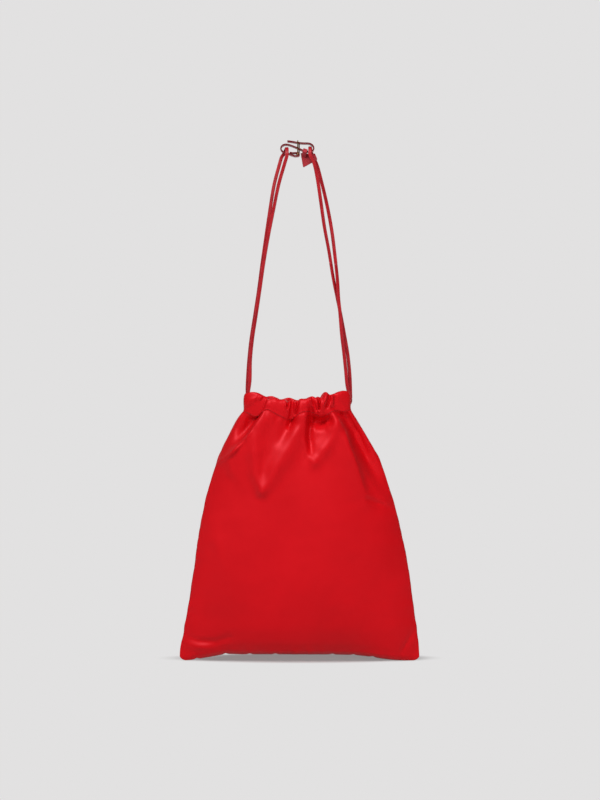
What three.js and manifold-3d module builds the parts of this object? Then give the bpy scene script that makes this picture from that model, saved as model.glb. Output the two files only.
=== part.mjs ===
// A drawstring shoulder bag: two gathered nylon panels sewn into a pouch, each with its top folded
// over into a channel, two leather drawcords that run round the mouth through both channels, and a
// small buckled belt, wound in an S, that joins the two cord loops at the top. Millimetres, +Z up,
// the front of the bag faces -Y. It hangs from the belt, and the origin is where a hook takes it.
import * as THREE from "three";
import Module from "manifold-3d";
import { mergeVertices } from "three/addons/utils/BufferGeometryUtils.js";

const wasm = await Module();
wasm.setup();

// Driving sizes of the pouch. Heights count from the lowest point of the bag.
const pouchWidth = 300;
const pouchHeight = 305; // floor to the middle of the channel's stitch line
const pouchDepth = 72;
const channelHeight = 22;
const mouthWidth = 132;
const mouthDepth = 43;
const mouthShift = -3.5; // the gathers sit a little left of the middle
const fabricWall = 2; // shell fabric, padding and lining together
const sewnGap = 0.3; // between pieces that are sewn or lie face to face
const cornerRadius = 9;
const bottomRise = 7.5; // the bottom seam draws up between the corners
const seamPucker = 1.4;

// Cords and channel.
const cordDiameter = 4.4;
const cordLane = 3; // each cord's height above or below the middle of the channel
const tunnelThickness = 6.4;
const tunnelHeight = 15;
const tunnelWall = 1.2; // fabric outside the tunnel at the bottom of a pleat
const sideSlit = 11; // between the ends of the front and the back channel
const loopRadius = 10; // of each cord's turn over the belt, to the cord's middle

// Belt and buckle.
const beltWidth = 12;
const beltThickness = 1.6;
const buckleWire = 1.5;
const buckleClearance = 0.6; // between the belt's edge and the frame
const buckleHeight = 18;
const tongueThickness = 1.5;
const tongueWidth = 1.8;
const holeLength = 5.8;
const holeWidth = 2.8;
const tagThickness = 2.4;
const tagLeather = 1.4;
const pivotClearance = 0.3;

const beltRed = new THREE.MeshStandardMaterial({ color: 0x8f1820, roughness: 0.45, metalness: 0 });
const cordRed = new THREE.MeshStandardMaterial({ color: 0xb4202a, roughness: 0.4, metalness: 0 });
const nylonRed = new THREE.MeshStandardMaterial({ color: 0xcf1a22, roughness: 0.5, metalness: 0 });
const paleGold = new THREE.MeshStandardMaterial({ color: 0xd9b88a, roughness: 0.2, metalness: 1 });

const clamp01 = (t) => Math.min(1, Math.max(0, t));
const smooth = (t) => clamp01(t) ** 2 * (3 - 2 * clamp01(t));
const bump = (x, width) => Math.exp(-((x / width) ** 2));

// A smooth function through [place, value] pairs.
function profile(pairs) {
  return (at) => {
    if (at <= pairs[0][0]) return pairs[0][1];
    for (let i = 1; i < pairs.length; i++) {
      if (at > pairs[i][0]) continue;
      const [a, b] = [pairs[i - 1], pairs[i]];
      const before = pairs[Math.max(0, i - 2)];
      const after = pairs[Math.min(pairs.length - 1, i + 1)];
      const span = b[0] - a[0];
      const t = (at - a[0]) / span;
      const slopeA = ((b[1] - before[1]) / (b[0] - before[0])) * span;
      const slopeB = ((after[1] - a[1]) / (after[0] - a[0])) * span;
      return (
        a[1] * (1 + 2 * t) * (1 - t) ** 2 +
        slopeA * t * (1 - t) ** 2 +
        b[1] * (3 - 2 * t) * t ** 2 -
        slopeB * (1 - t) * t ** 2
      );
    }
    return pairs[pairs.length - 1][1];
  };
}

// The pouch: half width and half depth over the height as shares, from the bottom seam to the stitch line.
const halfWidthShare = profile([
  [0, 0.998],
  [0.04, 0.995],
  [0.24, 0.93],
  [0.43, 0.873],
  [0.63, 0.797],
  [0.76, 0.713],
  [0.855, 0.64],
  [0.92, 0.57],
  [0.985, 0.493],
]);
const depthShare = profile([
  [0, 0],
  [0.012, 0.24],
  [0.035, 0.42],
  [0.09, 0.66],
  [0.18, 0.84],
  [0.3, 0.955],
  [0.45, 1],
  [0.62, 0.97],
  [0.78, 0.86],
  [0.9, 0.72],
]);

// Folds of the front panel: each is a crest or, with a negative rise, a hollow, that runs down from
// the channel. path holds [across, height], widths are those of its left and its right side.
const frontFolds = [
  {
    path: [[-41, 322], [-45, 311], [-56, 296], [-69, 277], [-80, 262], [-101, 247]],
    rise: 7,
    left: 7,
    right: 17,
    fade: 30,
  },
  {
    path: [[-48, 318], [-57, 301], [-71, 282], [-84, 268], [-100, 262]],
    rise: -6,
    left: 8,
    right: 6,
    fade: 24,
  },
  {
    path: [[-47, 309], [-52, 286], [-56, 255], [-53, 227], [-45, 210]],
    rise: 4.5,
    left: 14,
    right: 12,
    fade: 46,
  },
  {
    path: [[5, 322], [5, 309], [-3, 286], [-15, 261], [-29, 236], [-44, 210]],
    rise: 6,
    left: 8,
    right: 13,
    fade: 40,
  },
  {
    path: [[-12, 306], [-14, 291], [-22, 274], [-31, 255], [-40, 236]],
    rise: -5,
    left: 9,
    right: 7,
    fade: 34,
  },
  {
    path: [[16, 306], [16, 286], [10, 268], [7, 255]],
    rise: -6,
    left: 7,
    right: 9,
    fade: 22,
  },
  {
    path: [[37, 296], [34, 286], [27, 268], [17, 248]],
    rise: 4.5,
    left: 8,
    right: 12,
    fade: 26,
  },
  {
    path: [[25, 306], [27, 298], [36, 293]],
    rise: -4,
    left: 8,
    right: 9,
    fade: 8,
  },
  {
    path: [[29, 334], [33, 318], [41, 305], [50, 286], [59, 267], [69, 242], [82, 212]],
    rise: 7.5,
    left: 15,
    right: 6,
    fade: 60,
  },
  {
    path: [[44, 308], [57, 286], [69, 264], [81, 236], [100, 205]],
    rise: -6.5,
    left: 8,
    right: 11,
    fade: 50,
  },
];
const frontPleats = [
  { at: -54, rise: 3.2, width: 6.5 },
  { at: -37, rise: 4.4, width: 4.6 },
  { at: -25, rise: 3.8, width: 7.5 },
  { at: -11, rise: 3.2, width: 2.8 },
  { at: -3, rise: 2.6, width: 2.8 },
  { at: 6, rise: 4.2, width: 5 },
  { at: 17, rise: 3, width: 2.2 },
  { at: 28, rise: 4.4, width: 4 },
  { at: 41, rise: 2.8, width: 4 },
  { at: 54, rise: 3.6, width: 7 },
];
const backFolds = [
  {
    path: [[46, 322], [49, 308], [62, 290], [76, 270], [96, 250]],
    rise: 6,
    left: 15,
    right: 7,
    fade: 34,
  },
  {
    path: [[20, 320], [20, 300], [24, 270], [34, 236], [40, 214]],
    rise: 5.5,
    left: 10,
    right: 12,
    fade: 48,
  },
  {
    path: [[33, 306], [36, 286], [46, 262]],
    rise: -5,
    left: 8,
    right: 8,
    fade: 26,
  },
  {
    path: [[5, 306], [4, 284], [8, 262]],
    rise: -5,
    left: 8,
    right: 8,
    fade: 26,
  },
  {
    path: [[-14, 322], [-15, 300], [-13, 272], [-6, 244]],
    rise: 6,
    left: 10,
    right: 9,
    fade: 38,
  },
  {
    path: [[-30, 306], [-36, 284], [-46, 258]],
    rise: -5.5,
    left: 8,
    right: 8,
    fade: 30,
  },
  {
    path: [[-42, 322], [-50, 300], [-62, 276], [-78, 244]],
    rise: 6.5,
    left: 8,
    right: 14,
    fade: 46,
  },
];
const backPleats = [
  { at: -55, rise: 3.4, width: 6 },
  { at: -41, rise: 4.2, width: 4.5 },
  { at: -27, rise: 3, width: 3.2 },
  { at: -14, rise: 4.4, width: 5.2 },
  { at: -2, rise: 2.6, width: 2.6 },
  { at: 8, rise: 3.2, width: 3.4 },
  { at: 20, rise: 4.4, width: 5 },
  { at: 33, rise: 3, width: 3 },
  { at: 46, rise: 4, width: 5.4 },
];
const puckersAt = [-128, -92, -62, -30, 41, 67, 91];

// Sideways place of a fold at a height, along its path.
function foldPlace(path, height) {
  if (height >= path[0][1]) return path[0][0];
  for (let i = 1; i < path.length; i++) {
    if (height < path[i][1]) continue;
    const t = (height - path[i][1]) / (path[i - 1][1] - path[i][1]);
    return path[i][0] + (path[i - 1][0] - path[i][0]) * t;
  }
  return path[path.length - 1][0];
}

// How far the folds lift the cloth outwards at a point of a panel.
function foldRise(folds, across, height) {
  let sum = 0;
  for (const fold of folds) {
    const tip = fold.path[fold.path.length - 1][1];
    const side = across - foldPlace(fold.path, height);
    const strength = smooth((height - tip + fold.fade / 3) / fold.fade);
    sum += fold.rise * strength * bump(side, side < 0 ? fold.left : fold.right);
  }
  return sum;
}

function pleatRise(pleats, across) {
  return pleats.reduce((sum, pleat) => sum + pleat.rise * bump(across - pleat.at, pleat.width), 0);
}

// The bottom seam's height: round corners, drawn up and puckered between them. The right corner
// hangs lower over a longer stretch than the left one.
function bottomSeam(across) {
  const half = pouchWidth / 2;
  const intoCorner = Math.max(0, Math.abs(across) - (half - cornerRadius));
  const corner = cornerRadius - Math.sqrt(Math.max(0, cornerRadius ** 2 - intoCorner ** 2));
  const fromLeft = smooth((across + 0.95 * half) / (0.32 * half));
  const fromRight = smooth((0.83 * half - across) / (0.5 * half));
  const drawnUp = bottomRise * fromLeft * fromRight;
  const puckers = puckersAt.reduce((sum, at) => sum + seamPucker * bump(across - at, 4), 0);
  return corner + drawnUp + puckers;
}

const stitchHeight = (share) => pouchHeight - 1 + 6 * share ** 2;
const topHeight = (share) => pouchHeight - 1 + channelHeight + 8 * share ** 2;
const leanAt = (height) => mouthShift * smooth((height - 180) / (pouchHeight - 180));
const slitHalf = sideSlit / 2;
const tunnelReach = tunnelThickness / 2 + tunnelWall; // from the channel's middle to its thinnest wall
const channelHalfWidth = mouthWidth / 2 - tunnelReach; // to the channel's middle line
const channelHalfDepth = mouthDepth / 2 - tunnelReach - slitHalf;

// One panel as two matching grids of points, the outside and the inside of the cloth.
// side is -1 for the front and 1 for the back.
const columns = 56;
const sheetRows = 12;
const channelRows = 6;
function panelPoints(side, folds, pleats) {
  const outside = [];
  const inside = [];
  for (let i = 0; i <= columns; i++) {
    const turn = -1 + (2 * i) / columns;
    const share = turn * (1.3 - 0.3 * turn ** 2);
    const outer = [];
    const inner = [];
    const seam = bottomSeam((share * pouchWidth) / 2);
    for (let k = 0; k < sheetRows; k++) {
      const t = (k / (sheetRows - 0.4)) ** 1.45;
      for (const [list, inset] of [[outer, 0], [inner, 1]]) {
        const low = seam + inset * fabricWall * 1.4;
        const height = low + (stitchHeight(share) - low) * t;
        const up = clamp01((height - seam) / (pouchHeight - seam));
        const gather = smooth((up - 0.72) / 0.28);
        const full = 0.85 - 0.35 * gather;
        const lens = (1 - Math.abs(share) ** 2.4) ** full;
        const halfWidth = pouchWidth * 0.5 * halfWidthShare(up) - inset * fabricWall * 1.4;
        const across = leanAt(height) + share * halfWidth;
        const edge = sewnGap / 2;
        const fold = foldRise(folds, across, height) * clamp01(lens * 2.2);
        const smallPleats = pleatRise(pleats, across - mouthShift) * gather ** 2 * 0.8;
        const ramp = smooth(k / 1.5);
        const depth =
          (pouchDepth / 2) * depthShare(up) * lens -
          inset * fabricWall * ramp * clamp01(lens * 4) +
          (fold + smallPleats * clamp01(lens * 3)) * ramp;
        list.push([across, side * (edge + Math.max(0, depth)), height]);
      }
    }
    for (let k = 0; k < channelRows; k++) {
      const up = k / (channelRows - 1);
      const round = Math.sqrt(Math.max(0, 1 - (2 * up - 1) ** 4)) * 0.62 + 0.38;
      for (const [list, way] of [[outer, 1], [inner, -1]]) {
        const top = topHeight(share);
        const low = stitchHeight(share);
        const reach = tunnelReach * round;
        const halfWidth = channelHalfWidth + way * reach;
        const across = mouthShift + share * halfWidth;
        const oval = Math.sqrt(Math.max(0, 1 - share ** 2));
        const pleat = pleatRise(pleats, across - mouthShift) * (way > 0 ? 1 : 0.55) * round ** 2;
        const lift = 0.55 * pleatRise(pleats, across - mouthShift) * smooth(up * 1.5 - 0.5) - 1;
        const depth = slitHalf + (channelHalfDepth + way * reach) * oval + way * pleat * clamp01(oval * 2);
        list.push([across, side * depth, low + (top - low) * up + lift * clamp01(oval * 2)]);
      }
    }
    outside.push(outer);
    inside.push(inner);
  }
  return { outside, inside };
}

// A solid from points and triangles, turned to face outwards.
function solidFrom(points, triangles) {
  const vertProperties = new Float32Array(points.flat());
  const make = (list) =>
    new wasm.Manifold(new wasm.Mesh({ numProp: 3, vertProperties, triVerts: new Uint32Array(list.flat()) }));
  const solid = make(triangles);
  return solid.volume() > 0 ? solid : make(triangles.map(([a, b, c]) => [a, c, b]));
}

// A closed solid between two matching grids of points.
function solidBetween({ outside, inside }) {
  const [across, up] = [outside.length, outside[0].length];
  const points = [...outside.flat(), ...inside.flat()];
  const outerAt = (i, k) => i * up + k;
  const innerAt = (i, k) => across * up + i * up + k;
  const triangles = [];
  const quad = (a, b, c, d) => triangles.push([a, b, c], [a, c, d]);
  for (let i = 0; i < across - 1; i++) {
    for (let k = 0; k < up - 1; k++) {
      quad(outerAt(i, k), outerAt(i + 1, k), outerAt(i + 1, k + 1), outerAt(i, k + 1));
      quad(innerAt(i, k), innerAt(i, k + 1), innerAt(i + 1, k + 1), innerAt(i + 1, k));
    }
    quad(outerAt(i, up - 1), outerAt(i + 1, up - 1), innerAt(i + 1, up - 1), innerAt(i, up - 1));
    quad(outerAt(i, 0), innerAt(i, 0), innerAt(i + 1, 0), outerAt(i + 1, 0));
  }
  for (let k = 0; k < up - 1; k++) {
    quad(outerAt(0, k), outerAt(0, k + 1), innerAt(0, k + 1), innerAt(0, k));
    const last = across - 1;
    quad(outerAt(last, k), innerAt(last, k), innerAt(last, k + 1), outerAt(last, k + 1));
  }
  return solidFrom(points, triangles);
}

// A three.js geometry as a solid, and a solid as a three.js geometry.
function toSolid(geometry) {
  const bare = geometry.index ? geometry.toNonIndexed() : geometry.clone();
  bare.deleteAttribute("normal");
  bare.deleteAttribute("uv");
  const merged = mergeVertices(bare, 1e-4);
  return new wasm.Manifold(
    new wasm.Mesh({
      numProp: 3,
      vertProperties: merged.attributes.position.array,
      triVerts: new Uint32Array(merged.index.array),
    }),
  );
}
function toGeometry(solid) {
  const mesh = solid.getMesh();
  const positions = new Float32Array(mesh.numVert * 3);
  for (let i = 0; i < mesh.numVert; i++) {
    positions.set(mesh.vertProperties.subarray(i * mesh.numProp, i * mesh.numProp + 3), i * 3);
  }
  const geometry = new THREE.BufferGeometry();
  geometry.setAttribute("position", new THREE.BufferAttribute(positions, 3));
  geometry.setIndex(new THREE.BufferAttribute(new Uint32Array(mesh.triVerts), 1));
  const flat = geometry.toNonIndexed();
  flat.computeVertexNormals();
  return flat;
}

// The middle line of a channel at a share of its half width, and its height.
const channelMiddle = (share) => (stitchHeight(share) + topHeight(share)) / 2 - 0.5;
function channelPoint(side, share, lane) {
  const oval = Math.sqrt(Math.max(0, 1 - share ** 2));
  return new THREE.Vector3(
    mouthShift + share * channelHalfWidth,
    side * (slitHalf + channelHalfDepth * oval),
    channelMiddle(share) + lane,
  );
}

// The tunnel that the cords run in, swept along the channel and out through both its ends.
function tunnelSolid(side) {
  const steps = 30;
  const half = tunnelThickness / 2;
  const high = tunnelHeight / 2;
  const section = [
    [-half, -high + half],
    [-half / 2, -high],
    [half / 2, -high],
    [half, -high + half],
    [half, high - half],
    [half / 2, high],
    [-half / 2, high],
    [-half, high - half],
  ];
  const rings = [];
  for (let i = -1; i <= steps + 1; i++) {
    const inRange = Math.min(steps, Math.max(0, i));
    const share = Math.sin((Math.PI / 2) * (-1 + (2 * inRange) / steps));
    const middle = channelPoint(side, share, 0);
    if (i !== inRange) middle.y -= side * 2;
    const slope = Math.sqrt(Math.max(0, 1 - share ** 2));
    const outward = new THREE.Vector2(share * channelHalfDepth, side * slope * channelHalfWidth).normalize();
    rings.push(
      section.map(([out, up]) => [middle.x + outward.x * out, middle.y + outward.y * out, middle.z + up]),
    );
  }
  return sweepRings(rings);
}

// A closed solid through a row of rings of points, with flat ends.
function sweepRings(rings) {
  const sides = rings[0].length;
  const triangles = [];
  rings.slice(1).forEach((_, r) => {
    for (let s = 0; s < sides; s++) {
      const n = (s + 1) % sides;
      const [a, b] = [r * sides, (r + 1) * sides];
      triangles.push([a + s, a + n, b + n], [a + s, b + n, b + s]);
    }
  });
  const last = (rings.length - 1) * sides;
  for (let s = 1; s < sides - 1; s++) {
    triangles.push([0, s + 1, s], [last, last + s, last + s + 1]);
  }
  return solidFrom(rings.flat(), triangles);
}

function panel(name, side, folds, pleats) {
  const sheet = solidBetween(panelPoints(side, folds, pleats));
  const bodies = sheet.subtract(tunnelSolid(side)).decompose();
  const cloth = bodies.reduce((most, body) => (body.volume() > most.volume() ? body : most));
  const mesh = new THREE.Mesh(toGeometry(cloth), nylonRed);
  mesh.name = name;
  return mesh;
}

// Cords. Each starts and ends butted inside the channel on its far side, runs round the mouth, and
// its free loop rises from the slit at its own side and passes over the belt.
const cordSides = 8;
function cordTube(name, points) {
  const path = new THREE.CatmullRomCurve3(points, false, "centripetal");
  const steps = Math.round((points.length - 1) * 1.6);
  const sideways = new THREE.Vector3(0, 0, 1);
  const rings = [];
  for (let i = 0; i <= steps; i++) {
    const middle = path.getPoint(i / steps);
    const along = path.getTangent(i / steps);
    sideways.addScaledVector(along, -sideways.dot(along)).normalize();
    const across = new THREE.Vector3().crossVectors(along, sideways);
    const ring = [];
    for (let k = 0; k < cordSides; k++) {
      const turn = (k / cordSides) * 2 * Math.PI;
      const out = middle.clone();
      out.addScaledVector(sideways, (Math.cos(turn) * cordDiameter) / 2);
      out.addScaledVector(across, (Math.sin(turn) * cordDiameter) / 2);
      ring.push(out.toArray());
    }
    rings.push(ring);
  }
  const mesh = new THREE.Mesh(toGeometry(sweepRings(rings)), cordRed);
  mesh.name = name;
  return mesh;
}
// The stretch of a cord inside one channel, from one share of its half width to another.
function channelRun(side, lane, from, to) {
  const points = [];
  const count = 10;
  for (let i = 0; i < count; i++) {
    const angle = Math.asin(from) + ((Math.asin(to) - Math.asin(from)) * i) / (count - 1);
    points.push(channelPoint(side, Math.sin(angle), lane));
  }
  return points;
}
const at = (x, y, z) => new THREE.Vector3(x, y, z);

const leftFront = [
  at(-64.2, -2.7, 335), at(-62.4, -2.9, 348), at(-61.8, -3, 374), at(-59.2, -3, 400),
  at(-54.6, -3, 430), at(-49.9, -3, 462), at(-45.3, -3.4, 494), at(-39.8, -4.2, 526),
  at(-33, -5.4, 560), at(-26.4, -7, 592), at(-19.2, -8.8, 617),
];
const leftBack = [
  at(-65.7, 2.7, 336), at(-65.2, 2.9, 350), at(-63.6, 3, 374), at(-60.8, 3, 400),
  at(-56.2, 3, 430), at(-51.4, 3, 462), at(-47.2, 3.4, 494), at(-42.6, 4.2, 526),
  at(-37.6, 5.4, 560), at(-32.4, 7, 592), at(-26, 8.8, 617),
];
const rightFront = [
  at(60.6, -2.9, 333), at(58.6, -2.9, 343), at(56.9, -2.8, 361), at(54.7, -2.8, 382),
  at(52, -2.7, 405), at(49.8, -2.7, 432), at(47.9, -2.6, 450), at(46.5, -1.6, 474),
  at(43, 1.6, 508), at(39.5, 5, 536), at(34, 7.2, 566), at(27, 8.6, 596), at(20.6, 9.2, 619),
];
const rightBack = [
  at(62.8, 2.9, 334), at(62.5, 2.9, 346), at(61.5, 2.8, 362), at(59, 2.8, 384), at(54.8, 2.7, 408),
  at(50.4, 2.7, 432), at(46.2, 2.6, 452), at(41.4, 1.8, 476), at(36.2, -1.4, 508),
  at(30.2, -4.6, 540), at(25.6, -7, 572), at(21.4, -8.6, 600), at(17.4, -9.2, 618),
];
// The turn over the belt: a half circle from the belt's front edge to its back edge, straight over
// the belt itself and then out to the side that the strand behind hangs at.
function overBelt(from, to, top) {
  const points = [];
  const count = 9;
  for (let i = 0; i < count; i++) {
    const angle = (i / (count - 1)) * Math.PI;
    const deep = -loopRadius * Math.cos(angle);
    const across = from + (to - from) * (i / (count - 1)) ** 4;
    points.push(at(across, deep, top - loopRadius * (1 - Math.sin(angle))));
  }
  return points;
}

// The middle of the buckle's heel bar, across and up.
const heel = new THREE.Vector2(-2.8, 629.4);

const exitLeft = mouthShift - channelHalfWidth;
const exitRight = mouthShift + channelHalfWidth;
const laneHeight = channelMiddle(1);
const buttGap = 0.4;
function leftCord() {
  const far = mouthShift + channelHalfWidth;
  return [
    at(far, -buttGap, laneHeight + cordLane),
    ...channelRun(-1, cordLane, 1, -1),
    at(exitLeft, -4, laneHeight + cordLane + 1),
    at(exitLeft, -3.1, laneHeight + cordLane + 3.6),
    ...leftFront,
    ...overBelt(-16.2, -22.8, heel.y + 8.3),
    ...leftBack.slice().reverse(),
    at(exitLeft, 3.1, laneHeight + cordLane + 3.6),
    at(exitLeft, 4, laneHeight + cordLane + 1),
    ...channelRun(1, cordLane, -1, 1),
    at(far, buttGap, laneHeight + cordLane),
  ];
}
function rightCord() {
  const far = mouthShift - channelHalfWidth;
  return [
    at(far, -buttGap, laneHeight - cordLane),
    ...channelRun(-1, -cordLane, -1, 1),
    at(exitRight + 1.2, -3.6, laneHeight - cordLane),
    at(exitRight + 3.4, -3, laneHeight - cordLane + 1.2),
    at(exitRight + 4.7, -2.9, laneHeight + 1.7),
    ...rightFront,
    ...overBelt(12.4, 15.8, heel.y + 9.3).reverse(),
    ...rightBack.slice().reverse(),
    at(exitRight + 4.7, 2.9, laneHeight + 1.7),
    at(exitRight + 3.4, 3, laneHeight - cordLane + 1.2),
    at(exitRight + 1.2, 3.6, laneHeight - cordLane),
    ...channelRun(1, -cordLane, 1, -1),
    at(far, buttGap, laneHeight - cordLane),
  ];
}

// The belt, seen from the front: its free end, the top run, a curl round to the middle run, a second
// curl round to the bottom run, and its other end folded round the buckle's heel bar.
const heelWrap = buckleWire / 2 + pivotClearance + beltThickness / 2;
const hangHeight = heel.y - heelWrap - beltThickness / 2; // where a hook bears on the belt
const beltLine = new THREE.SplineCurve([
  new THREE.Vector2(-15.7, 645.9),
  new THREE.Vector2(-8.7, 645),
  new THREE.Vector2(-2.5, 643.8),
  new THREE.Vector2(5, 643.2),
  new THREE.Vector2(11.2, 643),
  new THREE.Vector2(15.8, 640.6),
  new THREE.Vector2(17.2, 636.8),
  new THREE.Vector2(15.2, 633.5),
  new THREE.Vector2(10.6, 632.6),
  new THREE.Vector2(3.7, 634.3),
  new THREE.Vector2(-2.5, 637),
  new THREE.Vector2(-11.2, 640.4),
  new THREE.Vector2(-17.4, 641.8),
  new THREE.Vector2(-22, 640.4),
  new THREE.Vector2(-23.9, 636.6),
  new THREE.Vector2(-21.6, 632.9),
  new THREE.Vector2(-16.2, 631),
  new THREE.Vector2(-10.4, 628.6),
  new THREE.Vector2(-6.2, 627.4),
]);
function beltProfile() {
  const line = beltLine.getSpacedPoints(46);
  for (let i = 0; i <= 8; i++) {
    const angle = -Math.PI / 2 + (i / 8) * Math.PI;
    line.push(new THREE.Vector2(heel.x + heelWrap * Math.cos(angle), heel.y + heelWrap * Math.sin(angle)));
  }
  line.push(new THREE.Vector2(-5.6, 631.2), new THREE.Vector2(-9, 631), new THREE.Vector2(-12.8, 631.7));
  return line;
}
// The outline of a strip of even thickness along a line of points.
function stripShape(line, thickness) {
  const near = [];
  const far = [];
  line.forEach((point, i) => {
    const before = line[Math.max(0, i - 1)];
    const after = line[Math.min(line.length - 1, i + 1)];
    const along = new THREE.Vector2().subVectors(after, before).normalize();
    const out = new THREE.Vector2(-along.y, along.x).multiplyScalar(thickness / 2);
    near.push(point.clone().add(out));
    far.unshift(point.clone().sub(out));
  });
  return new THREE.Shape([...near, ...far]);
}
// A shape drawn in x and z, extruded evenly to both sides of the middle plane.
function acrossMiddle(shape, width, bevel = 0) {
  const geometry = new THREE.ExtrudeGeometry(shape, {
    depth: width - 2 * bevel,
    steps: 1,
    curveSegments: 6,
    bevelEnabled: bevel > 0,
    bevelSize: bevel,
    bevelOffset: -bevel,
    bevelThickness: bevel,
    bevelSegments: 1,
  });
  geometry.translate(0, 0, -width / 2 + bevel);
  geometry.rotateX(Math.PI / 2);
  return geometry;
}
function blockAt(x, y, z, wide, deep, high) {
  const block = new THREE.BoxGeometry(wide, deep, high);
  block.translate(x, y, z);
  return toSolid(block);
}
function beltMesh() {
  let belt = toSolid(acrossMiddle(stripShape(beltProfile(), beltThickness), beltWidth));
  const tongueMiddle = heel.x + buckleWire / 2 + pivotClearance + tongueThickness / 2;
  for (const run of [6.8, 14.4]) {
    belt = belt.subtract(blockAt(tongueMiddle + 1, 0, heel.y + run, holeLength, holeWidth, 5));
  }
  const slotWide = tongueWidth + 2 * pivotClearance + 0.4;
  belt = belt.subtract(blockAt(heel.x + 0.6, 0, heel.y, 6.6, slotWide, 7));
  const mesh = new THREE.Mesh(toGeometry(belt), beltRed);
  mesh.name = "belt_strap";
  return mesh;
}

// The buckle: a cast frame that stands across the belt, and a tongue that turns on its heel bar.
function roundedRectangle(path, halfWidth, low, high, radius) {
  path.moveTo(-halfWidth + radius, low);
  path.lineTo(halfWidth - radius, low);
  path.quadraticCurveTo(halfWidth, low, halfWidth, low + radius);
  path.lineTo(halfWidth, high - radius);
  path.quadraticCurveTo(halfWidth, high, halfWidth - radius, high);
  path.lineTo(-halfWidth + radius, high);
  path.quadraticCurveTo(-halfWidth, high, -halfWidth, high - radius);
  path.lineTo(-halfWidth, low + radius);
  path.quadraticCurveTo(-halfWidth, low, -halfWidth + radius, low);
  return path;
}
function buckleFrame() {
  const inner = beltWidth / 2 + buckleClearance;
  const outer = inner + buckleWire;
  const low = heel.y - buckleWire / 2;
  const shape = roundedRectangle(new THREE.Shape(), outer, low, low + buckleHeight, 2.4);
  const [sill, lintel] = [low + buckleWire, low + buckleHeight - buckleWire];
  const opening = roundedRectangle(new THREE.Path(), inner, sill, lintel, 0.8);
  shape.holes.push(opening);
  const bevel = 0.4;
  const geometry = new THREE.ExtrudeGeometry(shape, {
    depth: buckleWire - 2 * bevel,
    steps: 1,
    curveSegments: 4,
    bevelEnabled: true,
    bevelSize: bevel,
    bevelOffset: -bevel,
    bevelThickness: bevel,
    bevelSegments: 1,
  });
  geometry.rotateX(Math.PI / 2);
  geometry.rotateZ(Math.PI / 2);
  geometry.translate(heel.x - buckleWire / 2 + bevel, 0, 0);
  const mesh = new THREE.Mesh(geometry, paleGold);
  mesh.name = "buckle_frame";
  return mesh;
}
function buckleTongue() {
  const ringInner = buckleWire / 2 + pivotClearance * 0.75;
  const ringOuter = ringInner + 1.0;
  const ring = new THREE.Shape();
  ring.absarc(heel.x, heel.y, ringOuter, 0, 2 * Math.PI, false);
  const eye = new THREE.Path();
  eye.absarc(heel.x, heel.y, ringInner, 0, 2 * Math.PI, true);
  ring.holes.push(eye);
  const root = heel.x + buckleWire / 2 + pivotClearance;
  const tip = heel.y + buckleHeight - buckleWire - 0.2;
  const arm = new THREE.Shape([
    new THREE.Vector2(root, heel.y + 0.2),
    new THREE.Vector2(root + tongueThickness * 0.75, heel.y + 0.2),
    new THREE.Vector2(root + tongueThickness, heel.y + 2.5),
    new THREE.Vector2(root + tongueThickness, tip - 3),
    new THREE.Vector2(root + tongueThickness * 0.8, tip - 0.6),
    new THREE.Vector2(root + tongueThickness * 0.4, tip),
    new THREE.Vector2(root, tip - 0.4),
  ]);
  const solid = toSolid(acrossMiddle(ring, tongueWidth)).add(toSolid(acrossMiddle(arm, tongueWidth, 0.3)));
  const mesh = new THREE.Mesh(toGeometry(solid), paleGold);
  mesh.name = "buckle_tongue";
  return mesh;
}

// The tag: one strip of leather folded over the belt's middle run, its two leaves stitched together.
function tagMesh() {
  const slope = -0.3;
  const middle = new THREE.Vector2(6.2, 633.6);
  const neckHalf = 2.7;
  const reach = beltWidth / 2 + sewnGap;
  const over = beltThickness / 2 + sewnGap;
  const loop = new THREE.Shape([
    new THREE.Vector2(-reach - tagLeather, over + tagLeather * 0.5),
    new THREE.Vector2(-reach - tagLeather, -over - 0.8),
    new THREE.Vector2(-tagThickness / 2, -over - 7),
    new THREE.Vector2(tagThickness / 2, -over - 7),
    new THREE.Vector2(reach + tagLeather, -over - 0.8),
    new THREE.Vector2(reach + tagLeather, over + tagLeather * 0.5),
    new THREE.Vector2(reach + tagLeather * 0.4, over + tagLeather),
    new THREE.Vector2(-reach - tagLeather * 0.4, over + tagLeather),
  ]);
  const hollow = new THREE.Path([
    new THREE.Vector2(-reach, over),
    new THREE.Vector2(reach, over),
    new THREE.Vector2(reach, -over),
    new THREE.Vector2(0.4, -over - 4.6),
    new THREE.Vector2(-0.4, -over - 4.6),
    new THREE.Vector2(-reach, -over),
  ]);
  loop.holes.push(hollow);
  const sleeve = new THREE.ExtrudeGeometry(loop, { depth: neckHalf * 2, steps: 1, bevelEnabled: false });
  sleeve.translate(0, 0, -neckHalf);
  sleeve.rotateX(Math.PI / 2);
  sleeve.rotateZ(Math.PI / 2);
  sleeve.rotateY(-Math.atan(slope));
  sleeve.translate(middle.x, 0, middle.y);
  const leaf = new THREE.Shape();
  leaf.moveTo(0.8, 631.3);
  leaf.lineTo(3.6, 615);
  leaf.quadraticCurveTo(4, 613.2, 5.6, 614.2);
  leaf.lineTo(20.6, 622.4);
  leaf.quadraticCurveTo(21.7, 623.2, 21.3, 624.6);
  leaf.lineTo(18.6, 630.8);
  leaf.lineTo(9.6, 630.6);
  leaf.closePath();
  const solid = toSolid(sleeve).add(toSolid(acrossMiddle(leaf, tagThickness, 0.35)));
  const mesh = new THREE.Mesh(toGeometry(solid), beltRed);
  mesh.name = "leather_tag";
  return mesh;
}

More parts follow.
